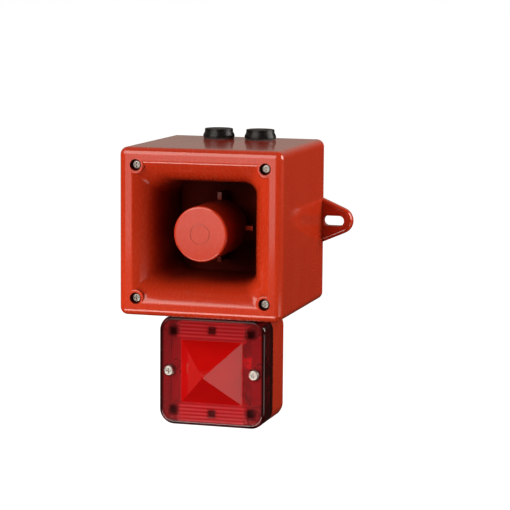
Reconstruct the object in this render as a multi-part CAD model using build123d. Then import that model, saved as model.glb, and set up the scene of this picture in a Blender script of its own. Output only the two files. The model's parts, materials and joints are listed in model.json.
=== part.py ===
from build123d import *
import os
from math import cos, exp, radians, sin, tan

# Horn sounder with a strobe beacon hung under it, for fixing to a wall.
# Millimetres. +X is right as seen from the front, +Z is up, and the front faces -Y.
# The origin lies on the wall, midway between the two wall slots.
# "Ahead" is the distance from the wall towards the front, so ahead = -Y.

# ---- sounder housing ----
HOUSING = 120.0          # width and height of the square housing
DEPTH = 118.0            # wall to the front plane
CORNER_R = 5.5           # upright corner radius of the housing
BULLNOSE_R = 5.0         # rounding round the front frame
SEAM = 110.0             # where the front cover meets the back box
WALL = 4.0
BACK_WALL = 3.5
BACK_RECESS = 86.0       # square recess in the back, so the box bears on its rim
BACK_RECESS_DEPTH = 0.8
SCREW_AT = 47.5          # cover screws, each way from the centre
POST = 12.0              # square posts that take the cover screws
POST_TOP = 100.0

# ---- horn flare ----
MOUTH_HALF = 50.0        # half width at the front plane
THROAT_HALF = 34.6       # half width that the bell curve tends to
BELL_LENGTH = 8.6        # how quickly the bell curve narrows
BELL_STEPS = 9
FLARE_DEPTH = 67.0
FLARE_WALL = 2.5
FLARE_PLATE = 5.0
FLARE_FLOOR = DEPTH - FLARE_DEPTH        # where the flare ends, ahead of the wall
PLATE_BACK = FLARE_FLOOR - FLARE_PLATE   # where the driver is fixed
MOUTH_CORNER = 8.0       # corner radius of the flare at the front plane
THROAT_CORNER = 13.0     # and at its floor
LIP_R = 4.0              # rounding where the flare meets the front plane
LIP_TURN = 29.0          # degrees that the rounding turns through
LIP_STEPS = 6
BOSS_R = 6.4
POCKET_R = 4.2
POCKET_DEPTH = 5.5

# ---- wall lugs ----
SLOT_SPACING = 138.0
SLOT_LENGTH = 16.0
SLOT_WIDTH = 7.5
LUG_THICK = 6.0
LUG_TIP_R = 10.0
LUG_TIP_X = 83.0
LUG_ROOT = 36.0          # height of the lug where it leaves the box
LUG_EDGE_R = 2.8

# ---- cable entries and stopping plugs ----
ENTRY_X = 16.0
ENTRY_AHEAD = 20.0
ENTRY_R = 10.0
ENTRY_PAD_R = 14.0
ENTRY_PAD = 5.0
PLUG_BASE_R = 11.7
PLUG_TOP_R = 10.5
PLUG_HEIGHT = 7.6
SEAL_THICK = 1.0

# ---- re-entrant cap, throat and driver ----
CAP_R = 19.75
CAP_FRONT = 116.0
CAP_WALL = 2.5
CAP_BACK = 66.0
THROAT_R = 6.0
THROAT_TUBE_R = 8.0
THROAT_END = 103.0
LEG_LENGTH = 8.0         # the four legs that hold the cap, along the radius
LEG_THICK = 3.0

# ---- driver: the faces between its pieces, ahead of the wall ----
DRIVER_R = 27.0
DRIVER_SCREW_AT = 22.0
YOKE_BACK = 20.5
YOKE_FRONT = 24.0
MAGNET_FRONT = 32.0
TOP_PLATE_FRONT = 36.0
DIAPHRAGM_AT = 38.0
DRIVER_PLATE_BACK = 41.0
DRIVER_PLATE_FRONT = 45.0
DIAPHRAGM_THICK = 0.35
COIL_R = 12.6

# ---- beacon ----
BEACON = 80.0
BEACON_R = 11.0
BEACON_Z = -104.0        # centre height
BASE_BACK = 36.0
BASE_FRONT = 66.0
LENS_FRONT = 87.0
BASE_WALL = 3.0
LENS_WALL = 3.0
LENS_FACE = 2.5
LENS_SCREW_X = 32.0
PYRAMID = 46.0
PYRAMID_RISE = 22.0
PYRAMID_TIP = 1.2
RIBS = 6
RIB_PITCH = 2.7
LINK_AHEAD = 51.0
LINK_R = 8.0
LINK_BORE_R = 5.6
LINK_SCREW_R = 1.95
STROBE_BACK = 41.0       # back of the strobe board
STROBE_FACE = 42.6
TUBE_LEG_X = 10.0        # legs of the flash tube, each side of the centre
BASE_POST_AT = 32.0      # corner posts of the base, each way from its centre

# ---- sounder board ----
BOARD_AHEAD = 10.0
BOARD_THICK = 1.6
BOARD_FACE = BOARD_AHEAD + BOARD_THICK
DIP_X = -34.0
DIP_Z = 4.0
DIP_PITCH = 2.54
DIP_COUNT = 5
DIP_TRAVEL = 1.8
TRIMMER_X = 34.0
TRIMMER_Z = 6.0
TERMINAL_Z = 34.0
TERMINAL_PITCH = 5.0
FIT = 0.05               # radial clearance of a screw or shaft in its hole

# ---- screw sizes: shank radius, head radius, head height ----
M4_PAN = (1.95, 3.3, 2.6)
M4_LENS = (1.95, 3.8, 2.6)
M3_PAN = (1.5, 2.7, 2.0)
BOARD_PAN = (1.2, 2.8, 1.9)
CLAMP_PAN = (1.2, 1.9, 2.2)

CORNERS = [(x, z) for x in (-1, 1) for z in (-1, 1)]
COVER_CORNERS = [(x * SCREW_AT, z * SCREW_AT) for x, z in CORNERS]
BOARD_SCREWS = [(x, z) for x in (-38, 38) for z in (-40, 33)]
STROBE_SCREWS = [(x, z) for x in (-21, 21) for z in (-82, -132)]
LINK_SCREWS = [(x, LINK_AHEAD + a) for x in (-24, 24) for a in (-8, 8)]
TERMINALS = [(i - 2.5) * TERMINAL_PITCH for i in range(6)]
DRIVER_SCREWS = [(x * DRIVER_SCREW_AT, z * DRIVER_SCREW_AT) for x, z in CORNERS]
LENS_SCREWS = [(-LENS_SCREW_X, BEACON_Z), (LENS_SCREW_X, BEACON_Z)]


def prism(sketch, near, far, x=0.0, z=0.0):
    """Extrudes a sketch drawn as seen from the front, from near to far ahead of the wall."""
    return extrude(Plane.XZ.offset(near) * Pos(x, z) * sketch, far - near)


def rod(radius, near, far, x=0.0, z=0.0):
    return prism(Circle(radius), near, far, x, z)


def tube(outer, inner, near, far, x=0.0, z=0.0):
    return prism(Circle(outer) - Circle(inner), near, far, x, z)


def upright(sketch, low, high, x=0.0, ahead=0.0):
    """Extrudes a sketch drawn in plan upward between two heights."""
    return extrude(Plane.XY.offset(low) * Pos(x, -ahead) * sketch, high - low)


def rounded(width, height, radius):
    return RectangleRounded(width, height, radius)


def square_ring(outer, inner, corner):
    """A square ring of even width, with concentric rounded corners."""
    return rounded(outer, outer, corner) - rounded(inner, inner, corner - (outer - inner) / 2)


def write(name, shape):
    export_step(shape, f"parts/{name}.step")


def pan_screw(size, seat, tip, x=0.0, z=0.0):
    """A screw that lies along the depth: head ahead of its seat, domed, with a cross recess."""
    shank_r, head_r, head = size
    body = rod(head_r, seat, seat + head, x, z)
    body = fillet(body.edges().sort_by(Axis.Y)[0], head * 0.45)
    body += rod(shank_r, tip, seat, x, z)
    slot_wide = 0.9
    for cut in ((slot_wide, head_r * 1.1), (head_r * 1.1, slot_wide)):
        body -= prism(Rectangle(*cut), seat + head * 0.45, seat + head + 1, x, z)
    return body


def bell_half(deep):
    """Half width of the horn flare at a depth behind the front plane."""
    return THROAT_HALF + (MOUTH_HALF - THROAT_HALF) * exp(-deep / BELL_LENGTH)


def bell(grow, depths):
    """The flare's space, or its outside when grown by the wall, lofted through square sections."""
    sections = []
    for deep in depths:
        half = bell_half(deep) + grow
        corner = MOUTH_CORNER + (THROAT_CORNER - MOUTH_CORNER) * deep / FLARE_DEPTH + grow
        sections.append(Plane.XZ.offset(DEPTH - deep) * rounded(2 * half, 2 * half, corner))
    return loft(sections)


def make_lip():
    """The space that rounds the mouth's edge, as a stack of thin square layers."""
    centre = MOUTH_HALF + LIP_R * tan(radians(LIP_TURN / 2))
    sections = []
    for i in range(LIP_STEPS + 1):
        turn = radians(LIP_TURN * i / LIP_STEPS)
        half = centre - LIP_R * sin(turn)
        deep = LIP_R * (1 - cos(turn))
        corner = MOUTH_CORNER + half - MOUTH_HALF
        sections.append(Plane.XZ.offset(DEPTH - deep) * rounded(2 * half, 2 * half, corner))
    return loft(sections, ruled=True)


def make_lug(side):
    tip = Pos(LUG_TIP_X - LUG_TIP_R, 0) * Circle(LUG_TIP_R)
    root_x = HOUSING / 2 - LUG_EDGE_R - 0.7
    root = Line((root_x, -LUG_ROOT / 2), (root_x, LUG_ROOT / 2))
    lug = prism(make_hull(tip.edges() + root.edges()), 0, LUG_THICK)
    lug = fillet(lug.faces().sort_by(Axis.Y)[0].edges(), LUG_EDGE_R)
    lug -= prism(SlotOverall(SLOT_LENGTH, SLOT_WIDTH), -1, LUG_THICK + 1, SLOT_SPACING / 2)
    return lug if side > 0 else mirror(lug, Plane.YZ)


def make_back_box():
    inner = HOUSING - 2 * WALL
    box = prism(rounded(HOUSING, HOUSING, CORNER_R), 0, SEAM)
    box = fillet(box.faces().sort_by(Axis.Y)[-1].edges(), 1.5)
    box -= prism(rounded(inner, inner, CORNER_R - WALL), BACK_WALL, SEAM + 1)
    box -= prism(rounded(BACK_RECESS, BACK_RECESS, 4), -1, BACK_RECESS_DEPTH)
    post_at = HOUSING / 2 - WALL + 0.5 - POST / 2
    for x, z in CORNERS:
        box += prism(rounded(POST, POST, 2.5), BACK_WALL - 1, POST_TOP, x * post_at, z * post_at)
    for side in (-1, 1):
        box += make_lug(side)
        pad_z = HOUSING / 2 - WALL - ENTRY_PAD
        box += upright(Circle(ENTRY_PAD_R), pad_z, pad_z + ENTRY_PAD + 1, side * ENTRY_X, ENTRY_AHEAD)
        box -= upright(Circle(ENTRY_R), pad_z - 1, HOUSING / 2 + 1, side * ENTRY_X, ENTRY_AHEAD)
    for x, z in BOARD_SCREWS:
        box += rod(3.6, BACK_WALL - 1, BOARD_AHEAD, x, z)
        box -= rod(1.2 + FIT, BACK_WALL + 1, BOARD_AHEAD + 1, x, z)
    for x, z in COVER_CORNERS:
        box -= rod(2.9, POST_TOP - 10, POST_TOP + 1, x, z)
        box -= rod(2.2, POST_TOP - 18, POST_TOP - 9, x, z)
    box -= upright(Circle(LINK_R + FIT), -HOUSING / 2 - 1, -HOUSING / 2 + WALL + 1, 0, LINK_AHEAD)
    for x, ahead in LINK_SCREWS:
        box -= upright(Circle(2.1), -HOUSING / 2 - 1, -HOUSING / 2 + WALL + 1, x, ahead)
    return box


def make_boss(near, x, z):
    """The rounded boss round a cover screw, where it stands into the flare."""
    return fillet(rod(BOSS_R, near, DEPTH, x, z).edges().sort_by(Axis.Y)[0], 1.2)


def make_front_cover():
    frame = prism(rounded(HOUSING, HOUSING, CORNER_R), SEAM, DEPTH)
    frame = fillet(frame.faces().sort_by(Axis.Y)[0].edges(), BULLNOSE_R)
    depths = [FLARE_DEPTH * (i / BELL_STEPS) ** 2 for i in range(BELL_STEPS + 1)]
    cover = frame + bell(FLARE_WALL, depths[1:] + [FLARE_DEPTH + FLARE_PLATE])
    inner = bell(0.0, depths) + make_lip()
    for x, z in COVER_CORNERS:
        cover += rod(BOSS_R - 0.9, POST_TOP, SEAM + 1, x, z)
        cover += make_boss(SEAM, x, z)
        inner -= make_boss(POST_TOP, x, z)
    cover -= inner
    cover -= rod(THROAT_R, PLATE_BACK - 1, FLARE_FLOOR + 1)
    for x, z in COVER_CORNERS:
        cover -= rod(POCKET_R, DEPTH - POCKET_DEPTH, DEPTH + 1, x, z)
        cover -= rod(2.2, POST_TOP - 1, DEPTH, x, z)
    for x, z in DRIVER_SCREWS:
        cover -= rod(1.5 + FIT, PLATE_BACK - 1, FLARE_FLOOR - 1, x, z)
    groove = square_ring(HOUSING - 2, HOUSING - 6, CORNER_R - 1)
    cover -= prism(groove, SEAM - 1, SEAM + 1.5)
    return cover


def make_cover_gasket():
    ring = square_ring(HOUSING - 2.2, HOUSING - 5.8, CORNER_R - 1.1)
    return prism(ring, SEAM, SEAM + 1.4)


def make_reflector_cap():
    cap = rod(CAP_R, CAP_BACK, CAP_FRONT)
    cap = fillet(cap.edges().sort_by(Axis.Y)[0], 1.6)
    cap -= tube(7.4, 6.6, CAP_FRONT - 0.4, CAP_FRONT + 1)
    for turn in (0, 90, 180, 270):
        leg = prism(Rectangle(LEG_LENGTH, LEG_THICK), FLARE_FLOOR, CAP_BACK + 4, CAP_R + 1.5, 0)
        cap += Rot(Y=turn) * leg
    cap -= rod(CAP_R - CAP_WALL, FLARE_FLOOR - 1, CAP_FRONT - CAP_WALL)
    return cap


def make_throat_tube():
    pipe = rod(13.0, FLARE_FLOOR, FLARE_FLOOR + 2.5) + rod(THROAT_TUBE_R, FLARE_FLOOR, THROAT_END)
    return pipe - rod(THROAT_R, FLARE_FLOOR - 1, THROAT_END + 1)


def driver_holes(shape, near, far):
    for x, z in DRIVER_SCREWS:
        shape -= rod(1.7, near, far, x, z)
    return shape


def make_driver_gasket():
    face = rounded(2 * DRIVER_R, 2 * DRIVER_R, 8) - Circle(12)
    ring = prism(face, DRIVER_PLATE_FRONT, PLATE_BACK)
    return driver_holes(ring, DRIVER_PLATE_FRONT - 1, PLATE_BACK + 1)


def make_driver_front():
    plate = prism(rounded(2 * DRIVER_R, 2 * DRIVER_R, 8), DRIVER_PLATE_BACK, DRIVER_PLATE_FRONT)
    plate -= rod(THROAT_R, DRIVER_PLATE_BACK - 1, DRIVER_PLATE_FRONT + 1)
    plate -= rod(17.5, DRIVER_PLATE_BACK - 1, DRIVER_PLATE_BACK + 1.2)
    return driver_holes(plate, DRIVER_PLATE_BACK - 1, DRIVER_PLATE_FRONT + 1)


def make_diaphragm():
    """A thin dome with a flat rim, centred on the driver's axis."""
    dome_r = 26.0
    cap_height = 2.2
    sphere = Sphere(dome_r) - Sphere(dome_r - DIAPHRAGM_THICK)
    dome = Pos(0, dome_r - DIAPHRAGM_AT - cap_height, 0) * sphere
    dome &= rod(10.4, DIAPHRAGM_AT, DIAPHRAGM_AT + 4)
    return dome + tube(17.0, 10.0, DIAPHRAGM_AT, DIAPHRAGM_AT + DIAPHRAGM_THICK)


def make_dip_body():
    body = prism(Rectangle(8.0, DIP_PITCH * DIP_COUNT + 1.6), BOARD_FACE, BOARD_FACE + 5, DIP_X, DIP_Z)
    for i in range(DIP_COUNT):
        body -= prism(Rectangle(3.6, 1.6), BOARD_FACE + 2, BOARD_FACE + 6, DIP_X, dip_height(i))
    return body


def dip_height(i):
    return DIP_Z + (i - (DIP_COUNT - 1) / 2) * DIP_PITCH


def make_dip_lever(i):
    return prism(Rectangle(1.6, 1.4), BOARD_FACE + 2.1, BOARD_FACE + 6, DIP_X - DIP_TRAVEL / 2, dip_height(i))


def make_trimmer_body():
    body = prism(rounded(9.5, 9.5, 0.8), BOARD_FACE, BOARD_FACE + 5.2, TRIMMER_X, TRIMMER_Z)
    return body - rod(3.0 + FIT, BOARD_FACE + 3.2, BOARD_FACE + 6, TRIMMER_X, TRIMMER_Z)


def make_trimmer_rotor():
    rotor = rod(3.0, BOARD_FACE + 3.25, BOARD_FACE + 5.8, TRIMMER_X, TRIMMER_Z)
    return rotor - prism(Rectangle(0.8, 4.4), BOARD_FACE + 4.6, BOARD_FACE + 6.5, TRIMMER_X, TRIMMER_Z)


def make_terminal_block():
    body = prism(Rectangle(31, 9), BOARD_FACE, BOARD_FACE + 11, 0, TERMINAL_Z)
    for x in TERMINALS:
        body -= rod(2.0, BOARD_FACE + 5, BOARD_FACE + 12, x, TERMINAL_Z)
        body -= Pos(x, -BOARD_FACE - 3, TERMINAL_Z + 2.5) * Box(3.4, 3.4, 6)
    return body


def make_sounder_board():
    board = prism(rounded(88, 86, 2), BOARD_AHEAD, BOARD_FACE, 0, -3)
    for x, z in BOARD_SCREWS:
        board -= rod(1.6, BOARD_AHEAD - 1, BOARD_FACE + 1, x, z)
    return board


def make_plug(side):
    """A stopping plug: threaded spigot, chamfered hexagonal collar and a flat top disc."""
    x = side * ENTRY_X
    base = HOUSING / 2 + SEAL_THICK
    across = RegularPolygon(PLUG_BASE_R + 0.9, 6)
    collar = upright(across, base, base + 3.4, x, ENTRY_AHEAD)
    collar &= upright(Circle(PLUG_BASE_R), base, base + 3.4, x, ENTRY_AHEAD)
    upper = Pos(x, -ENTRY_AHEAD, base + 3.4 + 0.7) * Cone(PLUG_BASE_R - 0.8, PLUG_TOP_R - 0.6, 1.4)
    disc = upright(Circle(PLUG_TOP_R), base + 4.8, base + PLUG_HEIGHT - SEAL_THICK, x, ENTRY_AHEAD)
    disc = fillet(disc.edges().sort_by(Axis.Z)[-1], 0.7)
    spigot = upright(Circle(ENTRY_R - FIT), base - SEAL_THICK - 11, base, x, ENTRY_AHEAD)
    return collar + upper + disc + spigot


def make_plug_seal(side):
    ring = Circle(PLUG_BASE_R - 0.5) - Circle(ENTRY_R + FIT)
    return upright(ring, HOUSING / 2, HOUSING / 2 + SEAL_THICK, side * ENTRY_X, ENTRY_AHEAD)


def make_beacon_base():
    inner = BEACON - 2 * BASE_WALL
    base = prism(rounded(BEACON, BEACON, BEACON_R), BASE_BACK, BASE_FRONT, 0, BEACON_Z)
    base = fillet(base.faces().sort_by(Axis.Y)[-1].edges(), 2.0)
    hollow = rounded(inner, inner, BEACON_R - BASE_WALL)
    base -= prism(hollow, BASE_BACK + BASE_WALL, BASE_FRONT + 1, 0, BEACON_Z)
    for x, z in CORNERS:
        at = (x * BASE_POST_AT, BEACON_Z + z * BASE_POST_AT)
        base += prism(rounded(11, 11, 2), BASE_BACK + 2, BASE_FRONT - 6, *at)
    for side in (-1, 1):
        base += rod(5.4, BASE_BACK + 2, BASE_FRONT, side * LENS_SCREW_X, BEACON_Z)
        base -= rod(3.0, BASE_FRONT - 10, BASE_FRONT + 1, side * LENS_SCREW_X, BEACON_Z)
        base -= rod(2.2, BASE_FRONT - 14, BASE_FRONT - 9, side * LENS_SCREW_X, BEACON_Z)
    for x, z in STROBE_SCREWS:
        base += rod(3.2, BASE_BACK + 2, STROBE_BACK, x, z)
        base -= rod(1.2 + FIT, BASE_BACK + 1.5, STROBE_BACK + 1, x, z)
    top = BEACON_Z + BEACON / 2
    base -= upright(Circle(LINK_R + FIT), top - BASE_WALL - 1, top + 1, 0, LINK_AHEAD)
    for x, ahead in LINK_SCREWS:
        base += upright(Circle(3.4), top - 9, top - 1, x, ahead)
        base -= upright(Circle(LINK_SCREW_R + FIT), top - 10, top + 1, x, ahead)
    ledge = square_ring(BEACON - 1.4, BEACON - 4.6, BEACON_R - 0.7)
    return base - prism(ledge, BASE_FRONT - 1.4, BASE_FRONT + 1, 0, BEACON_Z)


def make_lens_gasket():
    ring = square_ring(BEACON - 1.6, BEACON - 4.4, BEACON_R - 0.8)
    return prism(ring, BASE_FRONT - 1.3, BASE_FRONT, 0, BEACON_Z)


def pyramid(size, near, rise, tip):
    """A square pyramid with a small flat tip, standing ahead of a plane."""
    foot = Plane.XZ.offset(near) * Pos(0, BEACON_Z) * Rectangle(size, size)
    top = Plane.XZ.offset(near + rise) * Pos(0, BEACON_Z) * Rectangle(tip, tip)
    return loft([foot, top], ruled=True)


def make_beacon_lens():
    inner = BEACON - 2 * LENS_WALL
    lens = prism(rounded(BEACON, BEACON, BEACON_R), BASE_FRONT, LENS_FRONT, 0, BEACON_Z)
    lens = fillet(lens.faces().sort_by(Axis.Y)[0].edges(), 2.6)
    lens += pyramid(PYRAMID, LENS_FRONT - 0.2, PYRAMID_RISE + 0.2, PYRAMID_TIP)
    back = LENS_FRONT - LENS_FACE
    lens -= prism(rounded(inner, inner, BEACON_R - LENS_WALL), BASE_FRONT - 1, back, 0, BEACON_Z)
    lens -= pyramid(PYRAMID - 4, back - 0.2, PYRAMID_RISE - 1.5, PYRAMID_TIP)
    for side in (-1, 1):
        lens += rod(4.6, BASE_FRONT, back + 1, side * LENS_SCREW_X, BEACON_Z)
        lens -= rod(2.2, BASE_FRONT - 1, LENS_FRONT + 1, side * LENS_SCREW_X, BEACON_Z)
        for i in range(RIBS):
            z = BEACON_Z + side * (PYRAMID / 2 + 1.2 + i * RIB_PITCH)
            lens += make_rib(PYRAMID + 2 * i, z, back)
    return lens


def make_rib(width, z, back):
    """A prism rib on the back of the lens face, triangular in section."""
    section = Polygon((back + 0.2, -1.1), (back + 0.2, 1.1), (back - 0.9, 0), align=None)
    rib = extrude(Plane.YZ * section, width / 2, both=True)
    return Pos(0, 0, z) * mirror(rib, Plane.XZ)


def make_lens_carrier():
    """The black frame inside the lens: corner posts, top and bottom blocks, and a ring."""
    ring = rounded(72, 72, 7.5) - rounded(50, 66, 6)
    frame = prism(ring, 66.6, 68.2, 0, BEACON_Z)
    for x, z in CORNERS:
        frame += prism(rounded(8, 8, 1.5), 60, 82, x * 30, BEACON_Z + z * 30)
    for side in (-1, 1):
        frame += prism(Rectangle(6.8, 7.5), 66.6, 83.2, 0, BEACON_Z + side * 32)
        frame -= rod(5.2, 60, 70, side * LENS_SCREW_X, BEACON_Z)
    return frame


def make_reflector():
    def dish(grow, near, far):
        low = Plane.XZ.offset(near) * Pos(0, BEACON_Z) * rounded(34 + grow, 44 + grow, 5)
        high = Plane.XZ.offset(far) * Pos(0, BEACON_Z) * rounded(52 + grow, 64 + grow, 6)
        return loft([low, high], ruled=True)
    tray = dish(0, 58.5, 66.4) - dish(-2, 59.5, 66.5)
    for side in (-1, 1):
        tray -= rod(2.9, 58, 61, side * TUBE_LEG_X, BEACON_Z)
    return tray


def make_xenon_tube():
    """A U shaped flash tube whose legs stand on the strobe board."""
    foot, bend = -48, -74
    corners = [(-TUBE_LEG_X, foot), (-TUBE_LEG_X, bend), (TUBE_LEG_X, bend), (TUBE_LEG_X, foot)]
    path = FilletPolyline(*[(x, y, BEACON_Z) for x, y in corners], radius=TUBE_LEG_X - 1)
    return sweep(Plane(origin=(-TUBE_LEG_X, foot, BEACON_Z), z_dir=(0, -1, 0)) * Circle(2.4), path=path)


def make_strobe_board():
    board = prism(rounded(50, 60, 2), STROBE_BACK, STROBE_FACE, 0, BEACON_Z - 3)
    for x, z in STROBE_SCREWS:
        board -= rod(1.6, STROBE_BACK - 1, STROBE_FACE + 1, x, z)
    return board


def make_link_bush():
    """The hollow threaded bush that joins the housings and carries the leads."""
    floor = -HOUSING / 2 + WALL
    bush = upright(Circle(11), floor, floor + 3, 0, LINK_AHEAD)
    bush += upright(Circle(LINK_R), -72.5, floor + 1, 0, LINK_AHEAD)
    return bush - upright(Circle(LINK_BORE_R), -73, floor + 4, 0, LINK_AHEAD)


def make_link_locknut():
    top = BEACON_Z + BEACON / 2 - BASE_WALL
    nut = upright(RegularPolygon(12, 6), top - 3.5, top, 0, LINK_AHEAD)
    return nut - upright(Circle(LINK_R + FIT), top - 4, top + 1, 0, LINK_AHEAD)


def make_link_seal():
    top = BEACON_Z + BEACON / 2
    pad = upright(rounded(62, 24, 5), top, -HOUSING / 2, 0, LINK_AHEAD)
    pad -= upright(Circle(LINK_R + FIT), top - 1, -HOUSING / 2 + 1, 0, LINK_AHEAD)
    for x, ahead in LINK_SCREWS:
        pad -= upright(Circle(2.1), top - 1, -HOUSING / 2 + 1, x, ahead)
    return pad


def make_link_screws():
    floor = -HOUSING / 2 + WALL
    screws = Part()
    for x, ahead in LINK_SCREWS:
        head = upright(Circle(3.4), floor, floor + 2.4, x, ahead)
        head = fillet(head.edges().sort_by(Axis.Z)[-1], 0.9)
        screws += head + upright(Circle(LINK_SCREW_R), floor - 16, floor, x, ahead)
    return screws


def lead(x, points, radius, wire_r=0.8):
    """An insulated lead through points given as (ahead, height) at one sideways place."""
    path = FilletPolyline(*[(x, -a, z) for a, z in points], radius=radius)
    start, after = points[0], points[1]
    heading = (0, start[0] - after[0], after[1] - start[1])
    return sweep(Plane(origin=(x, -start[0], start[1]), z_dir=heading) * Circle(wire_r), path=path)


def group(shapes):
    whole = Part()
    for shape in shapes:
        whole += shape
    return whole


def make_pole_piece():
    return rod(24.0, YOKE_BACK, YOKE_FRONT) + rod(11.4, YOKE_FRONT, TOP_PLATE_FRONT - 0.5)


def make_driver_screws():
    """The driver's screws point forwards, into the flare's end plate."""
    tip = -FLARE_FLOOR + 1.5
    forward = [pan_screw(M3_PAN, -DRIVER_PLATE_BACK, tip, x, z) for x, z in DRIVER_SCREWS]
    return group(mirror(screw, Plane.XZ) for screw in forward)


def make_board_capacitors():
    large = rod(6.3, BOARD_FACE, BOARD_FACE + 19.4, -33, -30)
    small = rod(5.0, BOARD_FACE, BOARD_FACE + 15.4, -18, -38)
    return large + small


def make_driver_leads():
    """Two leads from the driver's plug to the back of its frame."""
    route = [(24, -33), (28.5, -33), (MAGNET_FRONT, -26), (TOP_PLATE_FRONT, -26)]
    return group(lead(x, route, 1.8, 0.6) for x in (-1.6, 1.6))


def make_link_leads():
    """Two leads from the sounder board through the bush to the strobe board."""
    route = [(BOARD_FACE, -42), (30, -42), (LINK_AHEAD, -47), (LINK_AHEAD, -82), (STROBE_FACE, -82)]
    return group(lead(x, route, 6) for x in (-2.4, 2.4))


def write_housing():
    write("back_box", make_back_box())
    write("front_cover", make_front_cover())
    write("cover_gasket", make_cover_gasket())
    seat = DEPTH - POCKET_DEPTH
    write("cover_screws", group(pan_screw(M4_PAN, seat, POST_TOP - 8, x, z) for x, z in COVER_CORNERS))
    write("cover_inserts", group(tube(2.9, 2.0, POST_TOP - 9, POST_TOP, x, z) for x, z in COVER_CORNERS))
    for side, name in ((-1, "left"), (1, "right")):
        write(f"stopping_plug_{name}", make_plug(side))
        write(f"plug_seal_{name}", make_plug_seal(side))


def write_horn_and_driver():
    write("reflector_cap", make_reflector_cap())
    write("throat_tube", make_throat_tube())
    write("driver_gasket", make_driver_gasket())
    write("driver_front", make_driver_front())
    write("driver_frame", tube(DRIVER_R, 21.0, TOP_PLATE_FRONT, DRIVER_PLATE_BACK))
    write("diaphragm_surround", tube(21.0, 17.1, DIAPHRAGM_AT, DIAPHRAGM_AT + 0.4))
    write("diaphragm", make_diaphragm())
    write("voice_coil", tube(COIL_R, COIL_R - 0.6, MAGNET_FRONT - 0.5, DIAPHRAGM_AT))
    write("top_plate", tube(24.0, COIL_R + 0.6, MAGNET_FRONT, TOP_PLATE_FRONT))
    write("magnet", tube(25.0, 15.5, YOKE_FRONT, MAGNET_FRONT))
    write("pole_piece", make_pole_piece())
    write("driver_screws", make_driver_screws())


def write_sounder_electronics():
    face = BOARD_FACE
    write("sounder_board", make_sounder_board())
    tip = BACK_WALL + 1.5
    write("board_screws", group(pan_screw(BOARD_PAN, face, tip, x, z) for x, z in BOARD_SCREWS))
    write("dip_switch_body", make_dip_body())
    for i in range(DIP_COUNT):
        write(f"dip_lever_{i + 1}", make_dip_lever(i))
    write("volume_trimmer_body", make_trimmer_body())
    write("volume_trimmer_rotor", make_trimmer_rotor())
    write("terminal_block", make_terminal_block())
    clamps = group(pan_screw(CLAMP_PAN, face + 6, face + 5, x, TERMINAL_Z) for x in TERMINALS)
    write("terminal_screws", clamps)
    write("sound_chip", prism(Rectangle(20, 8), face, face + 2.2, 0, -14))
    write("board_capacitors", make_board_capacitors())
    write("output_transformer", prism(rounded(18, 15, 2), face, face + 13.4, 29, -30))
    write("driver_header", prism(Rectangle(8, 6), face, 17, 0, -33))
    write("driver_plug", prism(rounded(7, 5, 0.8), 17, 24, 0, -33))
    write("driver_leads", make_driver_leads())


def write_beacon():
    write("beacon_base", make_beacon_base())
    write("link_seal", make_link_seal())
    write("link_bush", make_link_bush())
    write("link_locknut", make_link_locknut())
    write("link_screws", make_link_screws())
    write("link_leads", make_link_leads())
    write("lens_gasket", make_lens_gasket())
    write("beacon_lens", make_beacon_lens())
    insert_back = BASE_FRONT - 9
    write("lens_screws", group(pan_screw(M4_LENS, LENS_FRONT, insert_back, x, z) for x, z in LENS_SCREWS))
    inserts = group(tube(3.0, 2.0, insert_back, BASE_FRONT - 0.5, x, z) for x, z in LENS_SCREWS)
    write("lens_inserts", inserts)
    write("lens_carrier", make_lens_carrier())
    write("reflector", make_reflector())
    write("xenon_tube", make_xenon_tube())
    sockets = group(rod(2.8, STROBE_FACE, 48, x, BEACON_Z) for x in (-TUBE_LEG_X, TUBE_LEG_X))
    write("tube_sockets", sockets)
    write("strobe_board", make_strobe_board())
    tip = BASE_BACK + 2
    fixings = group(pan_screw(BOARD_PAN, STROBE_FACE, tip, x, z) for x, z in STROBE_SCREWS)
    write("strobe_board_screws", fixings)
    write("flash_capacitor", Pos(0, -50, -127) * Rot(Y=90) * Cylinder(7, 30))
    write("trigger_coil", rod(4.5, STROBE_FACE, 55, 18, -92))


def main():
    os.makedirs("parts", exist_ok=True)
    write_housing()
    write_horn_and_driver()
    write_sounder_electronics()
    write_beacon()


main()
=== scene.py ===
import json
import math
import bpy
import bmesh
from mathutils import Matrix, Vector


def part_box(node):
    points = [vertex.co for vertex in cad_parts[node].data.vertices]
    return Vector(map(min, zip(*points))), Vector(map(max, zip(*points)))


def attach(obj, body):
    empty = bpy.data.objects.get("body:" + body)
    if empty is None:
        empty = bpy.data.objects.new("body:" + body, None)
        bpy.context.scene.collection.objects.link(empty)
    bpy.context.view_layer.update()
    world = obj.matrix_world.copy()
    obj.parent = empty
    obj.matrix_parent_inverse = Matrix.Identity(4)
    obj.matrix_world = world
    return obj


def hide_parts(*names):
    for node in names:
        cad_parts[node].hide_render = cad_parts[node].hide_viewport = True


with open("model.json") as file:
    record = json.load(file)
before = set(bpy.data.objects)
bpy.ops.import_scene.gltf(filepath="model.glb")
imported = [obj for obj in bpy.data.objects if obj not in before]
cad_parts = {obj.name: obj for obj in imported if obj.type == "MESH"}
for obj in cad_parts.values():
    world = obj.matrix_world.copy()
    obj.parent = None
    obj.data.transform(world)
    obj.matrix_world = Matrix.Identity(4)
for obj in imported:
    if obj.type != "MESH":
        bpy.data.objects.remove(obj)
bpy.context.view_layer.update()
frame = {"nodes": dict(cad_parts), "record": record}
nodes = frame["nodes"]
MM = 0.001

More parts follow.
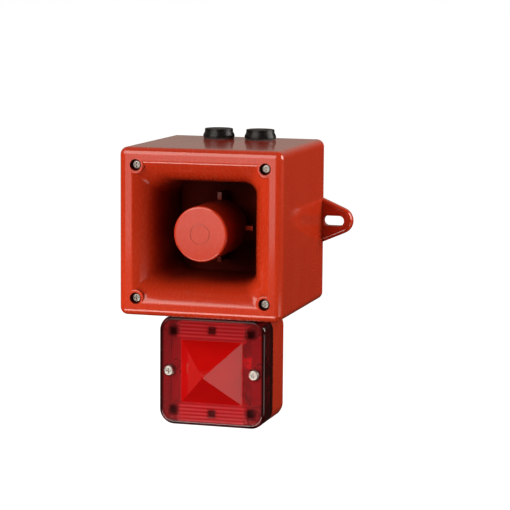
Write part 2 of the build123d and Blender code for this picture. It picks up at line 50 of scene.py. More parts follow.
# ---------------------------------------------------------------- camera
VIEW_AZIMUTH = 16.04
VIEW_ELEVATION = 7.71
VIEW_ROLL = 0.443
VIEW_DISTANCE = 1.4825
LENS = 149.2
AIM_RIGHT = 0.0382       # the point looked at, from the middle of the front cover
AIM_BEHIND = 0.0090
AIM_BELOW = 0.0138


def make_camera():
    """Stands where the object is seen a little from its right and from above."""
    low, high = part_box("front_cover")
    centre = (low + high) / 2
    aim = Vector((centre.x + AIM_RIGHT, low.y + AIM_BEHIND, centre.z - AIM_BELOW))
    turn, lift = math.radians(VIEW_AZIMUTH), math.radians(VIEW_ELEVATION)
    back = Vector((math.sin(turn) * math.cos(lift), -math.cos(turn) * math.cos(lift), math.sin(lift)))
    right = Vector((math.cos(turn), math.sin(turn), 0.0))
    up = back.cross(right)
    tilt = Matrix.Rotation(math.radians(VIEW_ROLL), 3, "Z")
    axes = Matrix((right, up, back)).transposed() @ tilt
    data = bpy.data.cameras.new("camera")
    data.lens = LENS
    data.sensor_width = 36.0
    data.clip_start, data.clip_end = 0.05, 200.0
    camera = bpy.data.objects.new("camera", data)
    bpy.context.scene.collection.objects.link(camera)
    camera.matrix_world = Matrix.Translation(aim + back * VIEW_DISTANCE) @ axes.to_4x4()
    bpy.context.scene.camera = camera


# ---------------------------------------------------------------- stage
FLOOR_HEIGHT = -0.45
SURROUND_FILL = 0.015    # light from every side
BACK_GLOW = 0.31         # light from behind, above and to the left
GLOW_TOWARD = (-0.55, 0.62, 0.56)
LIGHT_COLOUR = (1.0, 0.955, 0.89)
SURROUND_COLOUR = (1.0, 0.88, 0.76, 1.0)


def make_world():
    """White where the camera looks past the object; otherwise a dim warm surround, brighter behind."""
    world = bpy.data.worlds.new("studio")
    bpy.context.scene.world = world
    world.use_nodes = True
    tree = world.node_tree
    tree.nodes.clear()
    output = tree.nodes.new("ShaderNodeOutputWorld")
    mix = tree.nodes.new("ShaderNodeMixShader")
    seen = tree.nodes.new("ShaderNodeLightPath")
    shown = tree.nodes.new("ShaderNodeBackground")
    light = tree.nodes.new("ShaderNodeBackground")
    place = tree.nodes.new("ShaderNodeTexCoord")
    toward = tree.nodes.new("ShaderNodeVectorMath")
    toward.operation = "DOT_PRODUCT"
    toward.inputs[1].default_value = GLOW_TOWARD
    glow = tree.nodes.new("ShaderNodeMapRange")
    glow.interpolation_type = "SMOOTHSTEP"
    glow.inputs["From Min"].default_value = 0.42
    glow.inputs["From Max"].default_value = 0.88
    glow.inputs["To Min"].default_value = SURROUND_FILL
    glow.inputs["To Max"].default_value = BACK_GLOW
    shown.inputs["Color"].default_value = (1.0, 1.0, 1.0, 1.0)
    light.inputs["Color"].default_value = SURROUND_COLOUR
    tree.links.new(place.outputs["Generated"], toward.inputs[0])
    tree.links.new(toward.outputs["Value"], glow.inputs["Value"])
    tree.links.new(glow.outputs["Result"], light.inputs["Strength"])
    tree.links.new(seen.outputs["Is Camera Ray"], mix.inputs[0])
    tree.links.new(light.outputs[0], mix.inputs[1])
    tree.links.new(shown.outputs[0], mix.inputs[2])
    tree.links.new(mix.outputs[0], output.inputs["Surface"])


def make_floor(height, size):
    """A plain pale floor, bright enough to fade into the background."""
    mesh = bpy.data.meshes.new("floor")
    half = size / 2
    corners = [(-half, -half, height), (half, -half, height), (half, half, height), (-half, half, height)]
    mesh.from_pydata(corners, [], [(0, 1, 2, 3)])
    floor = bpy.data.objects.new("floor", mesh)
    bpy.context.scene.collection.objects.link(floor)
    pale = bpy.data.materials.new("floor_pale")
    pale.use_nodes = True
    shader = pale.node_tree.nodes["Principled BSDF"]
    shader.inputs["Base Color"].default_value = (0.93, 0.93, 0.93, 1.0)
    shader.inputs["Roughness"].default_value = 0.9
    shader.inputs["Emission Color"].default_value = (1.0, 1.0, 1.0, 1.0)
    shader.inputs["Emission Strength"].default_value = 0.95
    mesh.materials.append(pale)
    floor.visible_diffuse = False
    floor.visible_glossy = False
    floor.visible_transmission = False


def make_softbox(name, azimuth, elevation, distance, size, radiance, height=-0.02):
    """A rectangular softbox that faces the object, placed by its direction from it."""
    middle = Vector((0.0, -0.08, height))
    turn, lift = math.radians(azimuth), math.radians(elevation)
    away = Vector((math.sin(turn) * math.cos(lift), -math.cos(turn) * math.cos(lift), math.sin(lift)))
    data = bpy.data.lights.new(name, "AREA")
    data.shape = "RECTANGLE"
    data.size, data.size_y = size
    data.energy = radiance * size[0] * size[1] * math.pi
    data.color = LIGHT_COLOUR
    lamp = bpy.data.objects.new(name, data)
    bpy.context.scene.collection.objects.link(lamp)
    lamp.visible_camera = False
    lamp.location = middle + away * distance
    lamp.rotation_mode = "QUATERNION"
    lamp.rotation_quaternion = (-away).to_track_quat("-Z", "Y")


def make_lights():
    make_softbox("key", -28.0, 29.0, 1.7, (1.5, 1.35), 4.0)
    make_softbox("low_front", -18.0, -34.0, 0.64, (0.54, 0.22), 6.4)
    make_softbox("front", -14.0, -0.5, 1.7, (0.46, 0.40), 1.8)
    make_softbox("side_high", 106.0, 22.0, 0.80, (0.60, 0.50), 6.8)
    make_softbox("lens_side", 72.0, -8.0, 0.42, (0.30, 0.12), 1.6, height=-0.104)


# ---------------------------------------------------------------- material tools
class Finish:
    """One material under construction: adds nodes, links them and keeps the last normal."""

    def __init__(self, name):
        self.material = bpy.data.materials.new(name)
        self.material.use_nodes = True
        self.tree = self.material.node_tree
        self.shader = self.tree.nodes["Principled BSDF"]
        self.place = self.add("ShaderNodeTexCoord").outputs["Object"]
        self.normal = None

    def add(self, kind, **settings):
        node = self.tree.nodes.new(kind)
        for key, value in settings.items():
            setattr(node, key, value)
        return node

    def link(self, source, target):
        self.tree.links.new(source, target)

    def set(self, **values):
        for key, value in values.items():
            self.shader.inputs[key.replace("_", " ")].default_value = value

    def stretched(self, scale):
        """The object's own coordinates, scaled along each axis."""
        mapping = self.add("ShaderNodeMapping")
        mapping.inputs["Scale"].default_value = scale
        self.link(self.place, mapping.inputs["Vector"])
        return mapping.outputs["Vector"]

    def noise(self, scale, detail=2.0, stretch=None, distortion=0.0):
        node = self.add("ShaderNodeTexNoise")
        node.inputs["Scale"].default_value = scale
        node.inputs["Detail"].default_value = detail
        node.inputs["Distortion"].default_value = distortion
        self.link(self.stretched(stretch) if stretch else self.place, node.inputs["Vector"])
        return node.outputs["Fac"]

    def ranged(self, value, low, high, start=0.3, end=0.7):
        """A value between start and end, moved to lie between low and high."""
        node = self.add("ShaderNodeMapRange")
        node.inputs["From Min"].default_value = start
        node.inputs["From Max"].default_value = end
        node.inputs["To Min"].default_value = low
        node.inputs["To Max"].default_value = high
        self.link(value, node.inputs["Value"])
        return node.outputs["Result"]

    def mixed(self, factor, first, second):
        """A blend of two colours; each is a colour or another node's output."""
        node = self.add("ShaderNodeMix", data_type="RGBA")
        self.link(factor, node.inputs["Factor"])
        for socket, colour in ((node.inputs[6], first), (node.inputs[7], second)):
            if isinstance(colour, tuple):
                socket.default_value = (*colour, 1.0)
            else:
                self.link(colour, socket)
        return node.outputs[2]

    def edges(self, radius):
        """One along sharp edges and zero on flat stretches."""
        bevel = self.add("ShaderNodeBevel", samples=4)
        bevel.inputs["Radius"].default_value = radius
        flat = self.add("ShaderNodeNewGeometry").outputs["Normal"]
        match = self.add("ShaderNodeVectorMath", operation="DOT_PRODUCT")
        self.link(bevel.outputs["Normal"], match.inputs[0])
        self.link(flat, match.inputs[1])
        return self.ranged(match.outputs["Value"], 1.0, 0.0, 0.90, 0.998)

    def openness(self, reach):
        """One out in the open, and lower inside hollows and pockets."""
        node = self.add("ShaderNodeAmbientOcclusion", samples=6)
        node.inputs["Distance"].default_value = reach
        return node.outputs["AO"]

    def distance_from(self, axis, middle):
        """How far a point lies from a plane across one axis, in metres."""
        parts = self.add("ShaderNodeSeparateXYZ")
        self.link(self.place, parts.inputs[0])
        away = self.add("ShaderNodeMath", operation="SUBTRACT")
        self.link(parts.outputs[axis], away.inputs[0])
        away.inputs[1].default_value = middle
        size = self.add("ShaderNodeMath", operation="ABSOLUTE")
        self.link(away.outputs[0], size.inputs[0])
        return size.outputs[0]

    def near(self, value, middle, half, soft):
        """One where a value is within half of middle, fading to zero over a soft edge."""
        away = self.add("ShaderNodeMath", operation="SUBTRACT")
        self.link(value, away.inputs[0])
        away.inputs[1].default_value = middle
        size = self.add("ShaderNodeMath", operation="ABSOLUTE")
        self.link(away.outputs[0], size.inputs[0])
        return self.ranged(size.outputs[0], 1.0, 0.0, half - soft, half + soft)

    def joined(self, operation, first, second):
        node = self.add("ShaderNodeMath", operation=operation)
        self.link(first, node.inputs[0])
        self.link(second, node.inputs[1])
        return node.outputs[0]

    def larger(self, first, second):
        return self.joined("MAXIMUM", first, second)

    def product(self, first, second):
        return self.joined("MULTIPLY", first, second)

    def summed(self, value, extra, weight):
        """A value plus a weighted extra."""
        node = self.add("ShaderNodeMath", operation="MULTIPLY_ADD")
        self.link(extra, node.inputs[0])
        node.inputs[1].default_value = weight
        self.link(value, node.inputs[2])
        return node.outputs[0]

    def bump(self, height, strength, distance):
        node = self.add("ShaderNodeBump")
        node.inputs["Strength"].default_value = strength
        node.inputs["Distance"].default_value = distance
        self.link(height, node.inputs["Height"])
        if self.normal:
            self.link(self.normal, node.inputs["Normal"])
        self.normal = node.outputs["Normal"]

    def done(self, colour, roughness):
        self.link(colour, self.shader.inputs["Base Color"])
        self.link(roughness, self.shader.inputs["Roughness"])
        if self.normal:
            self.link(self.normal, self.shader.inputs["Normal"])
        return self.material


def shade(colour, factor):
    return tuple(min(1.0, channel * factor) for channel in colour)


def plastic(name, colour, roughness=0.3, vary=0.10, grain=0.25, wear=0.35, edge=0.0005, shine=0.5):
    """Moulded plastic: cloudy colour, fine grain, hairline scuffs and paler edges."""
    finish = Finish(name)
    cloud = finish.ranged(finish.noise(28.0, 3.0), 0.0, 1.0)
    base = finish.mixed(cloud, shade(colour, 1 - vary), shade(colour, 1 + vary))
    flow = finish.ranged(finish.noise(60.0, 4.0, (1.0, 1.0, 0.25), 1.5), 0.0, 0.5)
    base = finish.mixed(flow, base, shade(colour, 1 - vary / 2))
    worn = finish.edges(edge)
    pale = tuple(channel + (0.9 - channel) * 0.16 * wear for channel in colour)
    base = finish.mixed(worn, base, pale)
    scuffs = finish.noise(900.0, 2.0, (1.0, 0.05, 0.6))
    rough = finish.ranged(scuffs, roughness * 0.85, roughness * 1.35 + 0.01)
    finish.bump(finish.noise(1400.0, 2.0), grain, 0.00006)
    finish.bump(finish.noise(260.0, 1.0), grain * 0.35, 0.0001)
    finish.set(IOR=1.5, Specular_IOR_Level=shine)
    return finish.done(base, rough)


def metal(name, colour, roughness=0.3, brush=(1.0, 1.0, 12.0), vary=0.12):
    """Plated or turned metal: fine brushing, cloudy plating and brighter edges."""
    finish = Finish(name)
    cloud = finish.ranged(finish.noise(140.0, 4.0), 0.0, 1.0)
    base = finish.mixed(cloud, shade(colour, 1 - vary), shade(colour, 1 + vary / 2))
    spots = finish.ranged(finish.noise(900.0, 2.0), 0.0, 1.0, 0.62, 0.74)
    base = finish.mixed(spots, base, shade(colour, 0.84))
    base = finish.mixed(finish.edges(0.0003), base, shade(colour, 1.12))
    lines = finish.noise(1100.0, 3.0, brush)
    rough = finish.ranged(lines, roughness * 0.75, roughness * 1.3)
    finish.bump(lines, 0.12, 0.00004)
    finish.set(Metallic=1.0)
    return finish.done(base, rough)


def rubber(name, colour):
    """Dull moulded rubber: a bloom of paler dust over a pitted skin."""
    finish = Finish(name)
    dust = finish.ranged(finish.noise(180.0, 5.0), 0.0, 1.0, 0.45, 0.75)
    base = finish.mixed(dust, colour, shade(colour, 1.9))
    base = finish.mixed(finish.edges(0.0004), base, shade(colour, 2.4))
    rough = finish.ranged(finish.noise(400.0, 3.0), 0.62, 0.85)
    finish.bump(finish.noise(1500.0, 3.0), 0.5, 0.00012)
    finish.set(IOR=1.48)
    return finish.done(base, rough)


def red_gloss(name="red_gloss_plastic", shaded=None):
    """The housings' deep gloss red, with faint flow marks, a fine orange-peel skin and painted shade
    darkening its hollows.

    shaded is a pair of depths: behind the first, the painted shade in hollows deepens, down to the second.
    """
    finish = Finish(name)
    colour = (0.60, 0.036, 0.009)
    cloud = finish.ranged(finish.noise(16.0, 3.0), 0.0, 1.0)
    base = finish.mixed(cloud, shade(colour, 0.93), shade(colour, 1.05))
    flow = finish.ranged(finish.noise(42.0, 4.0, (1.0, 0.5, 0.2), 2.0), 0.0, 0.6, 0.5, 0.8)
    base = finish.mixed(flow, base, (0.63, 0.050, 0.015))
    specks = finish.ranged(finish.noise(1700.0, 1.0), 0.0, 0.5, 0.74, 0.80)
    base = finish.mixed(specks, base, (0.45, 0.030, 0.012))
    base = finish.mixed(finish.edges(0.0005), base, (0.66, 0.075, 0.035))
    openness = finish.openness(0.050)
    # painted shade: hollows and pockets are painted dark, and their gloss is dulled
    painted_shade_mask = finish.ranged(openness, 1.0, 0.0, 0.10, 0.62)
    if shaded:
        parts = finish.add("ShaderNodeSeparateXYZ")
        finish.link(finish.place, parts.inputs[0])
        depth = finish.ranged(parts.outputs["Y"], 0.0, 1.0, *shaded)
        hollow = finish.ranged(openness, 1.0, 0.0, 0.50, 0.97)
        painted_shade_mask = finish.larger(painted_shade_mask, finish.product(depth, hollow))
    # painted shade: hollows are painted down to 0.13 of the red
    base = finish.mixed(painted_shade_mask, base, shade(colour, 0.13))
    scuffs = finish.noise(700.0, 3.0, (1.0, 0.04, 0.4))
    rough = finish.summed(finish.ranged(scuffs, 0.270, 0.280, 0.4, 0.8), painted_shade_mask, 0.35)
    dulled = finish.ranged(painted_shade_mask, 0.16, 0.03, 0.0, 1.0)
    finish.link(dulled, finish.shader.inputs["Specular IOR Level"])
    finish.link(finish.ranged(painted_shade_mask, 1.0, 0.0, 0.0, 1.0), finish.shader.inputs["Coat Weight"])
    finish.bump(finish.noise(330.0, 1.0), 0.010, 0.0001)
    finish.bump(finish.noise(1800.0, 2.0), 0.008, 0.00004)
    finish.set(IOR=1.5, Coat_Roughness=0.10)
    return finish.done(base, rough)


LENS_PYRAMID = 0.0228, 0.0236        # from the middle: where the pyramid ends and the flat frame begins
LENS_BARS = 0.0232, 0.0240           # where the prism bars begin, above and below the pyramid
LENS_BARS_END = 0.0225, 0.0275       # where they fade out, to the left and right
LENS_BAR_PITCH = 0.0027
LENS_SIDE = 0.0364, 0.0380           # where the face turns into the side, which gets painted shade
POST_AT = 0.0292, 0.0290             # dark marks painted on the lens near the carrier's corner posts
POST_HALF = 0.0032, 0.0034
BLOCK_UP = 0.0305                    # and near its blocks, above and below the middle
BLOCK_HALF = 0.0031, 0.0030
WAVE_BANDS = 3.18                    # bands in a metre of a wave texture of scale 1


def red_clear():
    """The lens: clear red plastic with prism bars above and below the pyramid, painted shade in its sides
    and bars, and its flat frame painted paler as painted light.
    """
    finish = Finish("red_clear_plastic")
    low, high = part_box("beacon_lens")
    centre = (low + high) / 2
    cloud = finish.ranged(finish.noise(35.0, 2.0), 0.0, 1.0)
    base = finish.mixed(cloud, (0.74, 0.004, 0.004), (0.80, 0.007, 0.006))
    sideways = finish.distance_from("X", centre.x)
    upward = finish.distance_from("Z", centre.z)
    outer = finish.larger(sideways, upward)
    frame_part = finish.ranged(outer, 0.0, 1.0, *LENS_PYRAMID)
    # painted light: the flat frame round the pyramid is painted paler
    base = finish.mixed(frame_part, base, (0.93, 0.07, 0.085))
    bars = finish.add("ShaderNodeTexWave", wave_type="BANDS", bands_direction="Z")
    bars.inputs["Scale"].default_value = 1.0 / (WAVE_BANDS * LENS_BAR_PITCH)
    finish.link(finish.place, bars.inputs["Vector"])
    barred = finish.ranged(upward, 0.0, 1.0, *LENS_BARS)
    barred = finish.product(barred, finish.ranged(sideways, 1.0, 0.0, *LENS_BARS_END))
    stripes = finish.product(barred, bars.outputs["Fac"])
    # painted shade: dark stripes painted along the prism bars
    base = finish.mixed(stripes, base, (0.60, 0.007, 0.009))
    post_across = finish.near(sideways, POST_AT[0], POST_HALF[0], 0.0016)
    post_up = finish.near(upward, POST_AT[1], POST_HALF[1], 0.0016)
    block_across = finish.near(sideways, 0.0, BLOCK_HALF[0], 0.0012)
    block_up = finish.near(upward, BLOCK_UP, BLOCK_HALF[1], 0.0012)
    # painted dark near the carrier's posts and blocks, which the clear plastic blurs
    behind = finish.larger(finish.product(post_across, post_up), finish.product(block_across, block_up))
    base = finish.mixed(behind, base, (0.13, 0.006, 0.008))
    # painted shade: the lens's sides are painted dark
    side = finish.ranged(outer, 0.0, 1.0, *LENS_SIDE)
    base = finish.mixed(side, base, (0.13, 0.008, 0.009))
    rough = finish.ranged(finish.noise(500.0, 3.0, (1.0, 0.1, 0.5)), 0.05, 0.11)
    finish.bump(stripes, 0.03, 0.0004)
    finish.bump(finish.noise(280.0, 1.0), 0.03, 0.0001)
    clearer = finish.ranged(frame_part, 0.34, 0.86, 0.0, 1.0)
    milky = finish.ranged(barred, 1.0, 0.62, 0.0, 1.0)
    finish.link(finish.product(clearer, milky), finish.shader.inputs["Transmission Weight"])
    finish.set(IOR=1.49)
    return finish.done(base, rough)


def carrier_plastic():
    """The lens carrier: black posts and blocks on a flange that is metallised to throw the light forward."""
    finish = Finish("carrier_plastic")
    low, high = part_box("lens_carrier")
    flange_front = low.y + (high.y - low.y) * 0.64
    parts = finish.add("ShaderNodeSeparateXYZ")
    finish.link(finish.place, parts.inputs[0])
    flange = finish.ranged(parts.outputs["Y"], 0.0, 1.0, flange_front - 0.0003, flange_front + 0.0003)
    grain = finish.ranged(finish.noise(300.0, 3.0), 0.0, 1.0)
    black = finish.mixed(grain, (0.010, 0.010, 0.011), (0.020, 0.018, 0.018))
    bright = finish.mixed(grain, (0.80, 0.80, 0.80), (0.88, 0.88, 0.88))
    base = finish.mixed(flange, black, bright)
    rough = finish.ranged(finish.noise(700.0, 2.0), 0.25, 0.40)
    finish.bump(finish.noise(1200.0, 2.0), 0.25, 0.00006)
    finish.set(IOR=1.5)
    return finish.done(base, rough)


def flash_glass():
    """The flash tube: clear glass, smoked a little by use."""
    finish = Finish("flash_tube_glass")
    smoke = finish.ranged(finish.noise(220.0, 3.0), 0.0, 1.0, 0.45, 0.8)
    base = finish.mixed(smoke, (0.95, 0.96, 0.98), (0.70, 0.72, 0.76))
    rough = finish.ranged(finish.noise(90.0, 2.0), 0.02, 0.07)
    finish.bump(finish.noise(160.0, 1.0), 0.05, 0.0001)
    finish.set(IOR=1.47, Transmission_Weight=0.92)
    return finish.done(base, rough)


def circuit_board():
    """Green board: woven glass under solder mask, with copper tracks showing through."""
    finish = Finish("circuit_board")
    mask = (0.010, 0.115, 0.040)
    weave = finish.add("ShaderNodeTexWave", wave_type="BANDS", bands_direction="DIAGONAL")
    weave.inputs["Scale"].default_value = 700.0
    weave.inputs["Distortion"].default_value = 1.0
    finish.link(finish.place, weave.inputs["Vector"])
    base = finish.mixed(finish.ranged(weave.outputs["Fac"], 0.0, 0.35, 0.0, 1.0), mask, shade(mask, 1.5))
    cells = finish.add("ShaderNodeTexVoronoi", distance="CHEBYCHEV", feature="F1")
    cells.inputs["Scale"].default_value = 130.0
    finish.link(finish.stretched((1.0, 0.0, 1.0)), cells.inputs["Vector"])
    tracks = finish.ranged(cells.outputs["Distance"], 0.0, 1.0, 0.40, 0.44)
    base = finish.mixed(tracks, base, (0.035, 0.24, 0.075))
    rough = finish.ranged(finish.noise(500.0, 2.0), 0.26, 0.40)
    finish.bump(tracks, 0.5, 0.00004)
    finish.bump(weave.outputs["Fac"], 0.12, 0.00003)
    finish.set(IOR=1.55)
    return finish.done(base, rough)


def wound(name, colour, dark, pitch, roughness, metallic=0.0):
    """Wire or tape wound round the depth axis, seen as fine even turns with painted shade in the grooves
    between them.
    """
    finish = Finish(name)
    turns = finish.add("ShaderNodeTexWave", wave_type="BANDS", bands_direction="Y")
    turns.inputs["Scale"].default_value = 1.0 / pitch / WAVE_BANDS
    turns.inputs["Distortion"].default_value = 0.3
    finish.link(finish.place, turns.inputs["Vector"])
    cloud = finish.ranged(finish.noise(150.0, 3.0), 0.0, 1.0)
    base = finish.mixed(cloud, colour, shade(colour, 0.8))
    # painted shade: the dark colour fills the grooves between the turns
    base = finish.mixed(finish.ranged(turns.outputs["Fac"], 1.0, 0.0, 0.0, 0.5), base, dark)
    rough = finish.ranged(finish.noise(600.0, 2.0), roughness * 0.8, roughness * 1.2)
    finish.bump(turns.outputs["Fac"], 0.6, 0.0001)
    finish.set(Metallic=metallic)
    return finish.done(base, rough)


# ---------------------------------------------------------------- piece tools
def new_piece(name, mesh, finish, body):
    piece = bpy.data.objects.new(name, mesh)
    bpy.context.scene.collection.objects.link(piece)
    mesh.materials.append(finish)
    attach(piece, body)
    return piece


SHARP_DEGREES = 35.0


def smooth_by_angle(mesh):
    """Smooth shading that keeps the sharp edges sharp."""
    shading = bmesh.new()
    shading.from_mesh(mesh)
    limit = math.radians(SHARP_DEGREES)
    for face in shading.faces:
        face.smooth = True
    for edge in shading.edges:
        if len(edge.link_faces) == 2:
            edge.smooth = edge.calc_face_angle(0.0) < limit
    shading.to_mesh(mesh)
    shading.free()


def add_block(shape, centre, size, soften):
    """A small box with softened edges, added to a bmesh."""
    made = bmesh.ops.create_cube(shape, size=1.0)["verts"]
    bmesh.ops.scale(shape, vec=size, verts=made)
    bmesh.ops.translate(shape, vec=centre, verts=made)
    edges = list({edge for vert in made for edge in vert.link_edges})
    bmesh.ops.bevel(shape, geom=edges, offset=soften, segments=2, affect="EDGES", profile=0.6)


def finish_mesh(shape, name):
    mesh = bpy.data.meshes.new(name)
    shape.to_mesh(mesh)
    shape.free()
    smooth_by_angle(mesh)
    return mesh


def skin(shape, rings):
    """Joins rings of points into one closed solid, with a face across each end."""
    for lower, upper in zip(rings, rings[1:]):
        for i in range(len(lower)):
            j = (i + 1) % len(lower)
            shape.faces.new((lower[i], lower[j], upper[j], upper[i]))
    shape.faces.new(list(reversed(rings[0])))
    shape.faces.new(rings[-1])
    bmesh.ops.recalc_face_normals(shape, faces=shape.faces)


def turned(name, profile, axis_at, steps, thread):
    """A closed solid turned about an upright line through axis_at, from (radius, height) points.

    thread is (lowest, highest, depth, pitch): a helical groove is cut between those heights.
    """
    lowest, highest, depth, pitch = thread
    shape = bmesh.new()
    rings = []
    for radius, height in profile:
        ring = []
        for i in range(steps):
            turn = 2 * math.pi * i / steps
            reach = radius
            if lowest < height < highest:
                phase = 2 * math.pi * height / pitch + turn
                fade = min(1.0, (height - lowest) / pitch, (highest - height) / pitch)
                reach -= depth * fade * (0.5 + 0.5 * math.sin(phase))
            at = (axis_at.x + reach * math.cos(turn), axis_at.y + reach * math.sin(turn), height)
            ring.append(shape.verts.new(at))
        rings.append(ring)
    skin(shape, rings)
    return finish_mesh(shape, name)


# ---------------------------------------------------------------- finishes by slot
FINISHES = {
    "red_housing": red_gloss(),
    "red_lens": red_clear(),
    "black_plastic": plastic("black_moulded_plastic", (0.009, 0.008, 0.0085), 0.22, grain=0.20),
    "bright_reflector": metal("vacuum_metallised", (0.88, 0.88, 0.88), 0.14, (1.0, 1.0, 1.0), 0.04),
    "seal_rubber": rubber("seal_rubber", (0.020, 0.019, 0.019)),
    "screw_steel": metal("zinc_plated_steel", (0.46, 0.42, 0.385), 0.34, (1.0, 8.0, 1.0)),
    "insert_brass": metal("turned_brass", (0.74, 0.52, 0.22), 0.28, (1.0, 10.0, 1.0)),
    "coil_former": plastic("phenolic_ring", (0.36, 0.17, 0.06), 0.42, 0.18, 0.5),
    "diaphragm_film": plastic("amber_film", (0.62, 0.36, 0.09), 0.22, 0.12, 0.3),
    "coil_copper": wound("enamelled_copper", (0.72, 0.30, 0.13), (0.16, 0.05, 0.02), 0.0003, 0.30, 1.0),
    "magnet_steel": metal("nickel_plated_steel", (0.55, 0.54, 0.52), 0.34, (1.0, 9.0, 1.0)),
    "magnet_ferrite": rubber("ferrite", (0.035, 0.035, 0.037)),
    "board_green": circuit_board(),
    "switch_blue": plastic("blue_switch_body", (0.015, 0.075, 0.30), 0.36, 0.12, 0.5),
    "switch_white": plastic("ivory_nylon", (0.78, 0.76, 0.69), 0.42, 0.05, 0.4),
    "terminal_green": plastic("green_polyamide", (0.03, 0.24, 0.07), 0.40, 0.12, 0.5),
    "capacitor_sleeve": plastic("capacitor_sleeve", (0.012, 0.018, 0.055), 0.20, 0.15, 0.15),
    "coil_tape": wound("polyester_tape", (0.72, 0.52, 0.07), (0.40, 0.26, 0.03), 0.0016, 0.35),
    "lead_insulation": plastic("lead_insulation", (0.45, 0.014, 0.014), 0.38, 0.12, 0.3),
    "flash_glass": flash_glass(),
}


COVER_SHADE = 0.50, 0.92         # where the painted shade in the front cover's hollows deepens, as shares of its depth


def cover_finish():
    """The front cover's red, with painted shade that deepens towards the floor of the horn."""
    low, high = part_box("front_cover")
    depth = high.y - low.y
    return red_gloss("front_cover_red", [low.y + share * depth for share in COVER_SHADE])


OWN_FINISHES = {"lens_carrier": carrier_plastic(), "front_cover": cover_finish()}
PLUG_NYLON = plastic("stopping_plug_nylon", (0.007, 0.006, 0.006), 0.30, grain=0.04, shine=0.25)


def dress_nodes():
    """Gives every CAD node the finish of its slot, or its own where it has one."""
    for entry in frame["record"]["subparts"]:
        node = nodes[entry["node"]]
        node.data.materials.clear()
        own = OWN_FINISHES.get(entry["node"])
        node.data.materials.append(own or FINISHES[entry["material_slot"]])


# ---------------------------------------------------------------- stopping plugs
THREAD_PITCH = 1.5 * MM
THREAD_DEPTH = 0.55 * MM
THREAD_RINGS = 8             # rings of points in each turn of the thread
SPIGOT_STEP = 1.75 * MM      # the spigot's radius is this much less than the collar's
DISC_STEP = 1.2 * MM         # and the top disc's this much less
PLUG_EDGE_R = 0.6 * MM


def plug_profile(low, seat, top, collar_r):
    """The outline of a plug as (radius, height), from the foot of the spigot to the middle of the top."""
    spigot_r = collar_r - SPIGOT_STEP
    disc_r = collar_r - DISC_STEP
    ring = THREAD_PITCH / THREAD_RINGS
    rise = top - seat
    profile = [(spigot_r - 1.2 * MM, low)]
    for i in range(int((seat - low) / ring)):
        height = low + i * THREAD_PITCH / THREAD_RINGS
        profile.append((spigot_r - max(0.0, 0.8 * MM - (height - low)), height))
    profile += [(spigot_r, seat), (collar_r - 0.35 * MM, seat), (collar_r, seat + 0.35 * MM)]
    profile += [(collar_r, seat + 0.24 * rise), (collar_r - 0.15 * MM, seat + 0.32 * rise)]
    profile += [(disc_r + 0.15 * MM, seat + 0.60 * rise), (disc_r, seat + 0.66 * rise)]
    profile.append((disc_r, top - 0.7 * MM))
    for i in range(1, 5):
        turn = math.radians(22.5 * i)
        inward = PLUG_EDGE_R * (1 - math.cos(turn))
        profile.append((disc_r - inward, top - PLUG_EDGE_R * (1 - math.sin(turn))))
    profile += [(disc_r - 2.2 * MM, top), (disc_r - 2.7 * MM, top - 0.45 * MM), (0.4 * MM, top - 0.5 * MM)]
    return profile


def make_plug(side):
    """A stopping plug: threaded spigot, flared collar, and a top disc with a shallow dished face."""
    node = f"stopping_plug_{side}"
    low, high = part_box(node)
    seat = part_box(f"plug_seal_{side}")[1].z
    profile = plug_profile(low.z, seat, high.z, (high.x - low.x) / 2)
    thread = (low.z + 1.0 * MM, seat - 1.2 * MM, THREAD_DEPTH, THREAD_PITCH)
    mesh = turned(node + "_turned", profile, (low + high) / 2, steps=96, thread=thread)
    piece = new_piece(node + "_detailed", mesh, PLUG_NYLON, f"plug_{side}")
    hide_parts(node)


# ---------------------------------------------------------------- board furniture
CHIP_LENGTH = 2.0 * MM
CHIP_WIDTH = 1.25 * MM
CHIP_HEIGHT = 0.55 * MM      # the lowest; every third one is 0.15 mm and 0.30 mm taller
CHIP_END = 0.42 * MM
LEG_THICK = 0.18 * MM
FILLET = [(0.95, 0.02), (0.70, 0.12), (0.48, 0.35), (0.36, 0.75), (0.34, 1.05), (0.20, 1.15)]
FILLET_STEPS = 14


def face_of(board):
    """The depth of a board's front face."""
    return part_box(board)[0].y


def make_steel_piece(name, shape):
    new_piece(name, finish_mesh(shape, name), FINISHES["screw_steel"], "housing")


def make_chips(name, board, places):
    """Tiny surface-mounted parts, at (x, z, upright): a dark body between two tinned ends."""
    face = face_of(board)
    bodies, ends = bmesh.new(), bmesh.new()
    for i, (x, z, upright) in enumerate(places):
        tall = CHIP_HEIGHT + 0.15 * (i % 3) * MM
        size = (CHIP_WIDTH, tall, CHIP_LENGTH) if upright else (CHIP_LENGTH, tall, CHIP_WIDTH)
        add_block(bodies, Vector((x, face - tall / 2 - 0.02 * MM, z)), size, 0.06 * MM)
        end = (CHIP_WIDTH * 1.06, tall * 1.08, CHIP_END)
        for side in (-1, 1):
            along = Vector((0, 0, side)) if upright else Vector((side, 0, 0))
            middle = Vector((x, face - tall * 0.54, z)) + along * CHIP_LENGTH * 0.42
            add_block(ends, middle, end if upright else end[::-1], 0.05 * MM)
    mesh = finish_mesh(bodies, name + "_bodies")
    new_piece(name + "_bodies", mesh, FINISHES["black_plastic"], "housing")
    make_steel_piece(name + "_ends", ends)


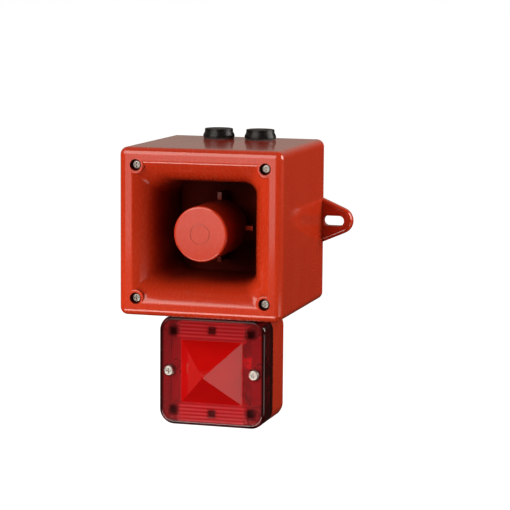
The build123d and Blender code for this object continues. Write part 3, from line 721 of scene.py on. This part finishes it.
def make_chip_legs(name, chip, board, count):
    """Gull-wing legs along the long sides of a chip: shoulder, drop and foot."""
    low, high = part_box(chip)
    face = face_of(board)
    pitch = (high.x - low.x) / count
    width = pitch * 0.38
    # each stretch: height off the board, distance out from the chip, and size in depth and outwards
    shoulder = (1.05 * MM, 0.30 * MM, LEG_THICK, 0.62 * MM)
    drop = (0.60 * MM, 0.56 * MM, 1.05 * MM, LEG_THICK)
    foot = (0.12 * MM, 0.92 * MM, LEG_THICK, 0.80 * MM)
    shape = bmesh.new()
    for i in range(count):
        x = low.x + pitch * (i + 0.5)
        for side, edge in ((1, high.z), (-1, low.z)):
            for off, out, deep, long in (shoulder, drop, foot):
                add_block(shape, Vector((x, face - off, edge + side * out)), (width, deep, long), 0.04 * MM)
    make_steel_piece(name, shape)


def make_solder(name, board, places):
    """Solder fillets round through-hole pins, at (x, z): small flared cones with a pin in each."""
    face = face_of(board)
    shape = bmesh.new()
    turns = [2 * math.pi * i / FILLET_STEPS for i in range(FILLET_STEPS)]
    for x, z in places:
        rings = []
        for radius, tall in FILLET:
            reach, depth = radius * MM, face - tall * MM
            ring = [(x + reach * math.cos(t), depth, z + reach * math.sin(t)) for t in turns]
            rings.append([shape.verts.new(point) for point in ring])
        skin(shape, rings)
    make_steel_piece(name, shape)


def furnish_sounder_board():
    chip_low, chip_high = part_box("sound_chip")
    places = [(chip_low.x + (2 + i * 4.2) * MM, chip_high.z + 4.5 * MM, True) for i in range(5)]
    places += [(chip_low.x + (1 + i * 5.0) * MM, chip_low.z - 4.5 * MM, False) for i in range(5)]
    switch_low, switch_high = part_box("dip_switch_body")
    places += [(switch_high.x + 3.2 * MM, switch_low.z + (1.5 + i * 2.9) * MM, False) for i in range(5)]
    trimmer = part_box("volume_trimmer_body")[0]
    places += [(trimmer.x - 4.0 * MM, trimmer.z + (1.2 + i * 3.4) * MM, True) for i in range(3)]
    make_chips("sounder_chips", "sounder_board", places)
    make_chip_legs("sound_chip_legs", "sound_chip", "sounder_board", 8)
    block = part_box("terminal_block")[0]
    pins = [(block.x + (3 + i * 5.0) * MM, block.z - 2.6 * MM) for i in range(6)]
    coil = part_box("output_transformer")[0]
    pins += [(coil.x - 2.2 * MM, coil.z + (2.5 + i * 5.0) * MM) for i in range(3)]
    make_solder("sounder_solder", "sounder_board", pins)


def furnish_strobe_board():
    socket_low, socket_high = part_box("tube_sockets")
    places = [(i * 4.6 * MM, socket_low.z - 5.0 * MM, i % 2 == 0) for i in (-4, -3, -1, 1, 3, 4)]
    make_chips("strobe_chips", "strobe_board", places)
    pins = [(i * 5.0 * MM, socket_high.z + 6.0 * MM) for i in (-4, -3, -2, -1)]
    make_solder("strobe_solder", "strobe_board", pins)


make_camera()
make_world()
make_floor(FLOOR_HEIGHT, 60.0)
make_lights()
dress_nodes()
make_plug("left")
make_plug("right")
furnish_sounder_board()
furnish_strobe_board()
bpy.context.scene.view_settings.view_transform = "Standard"
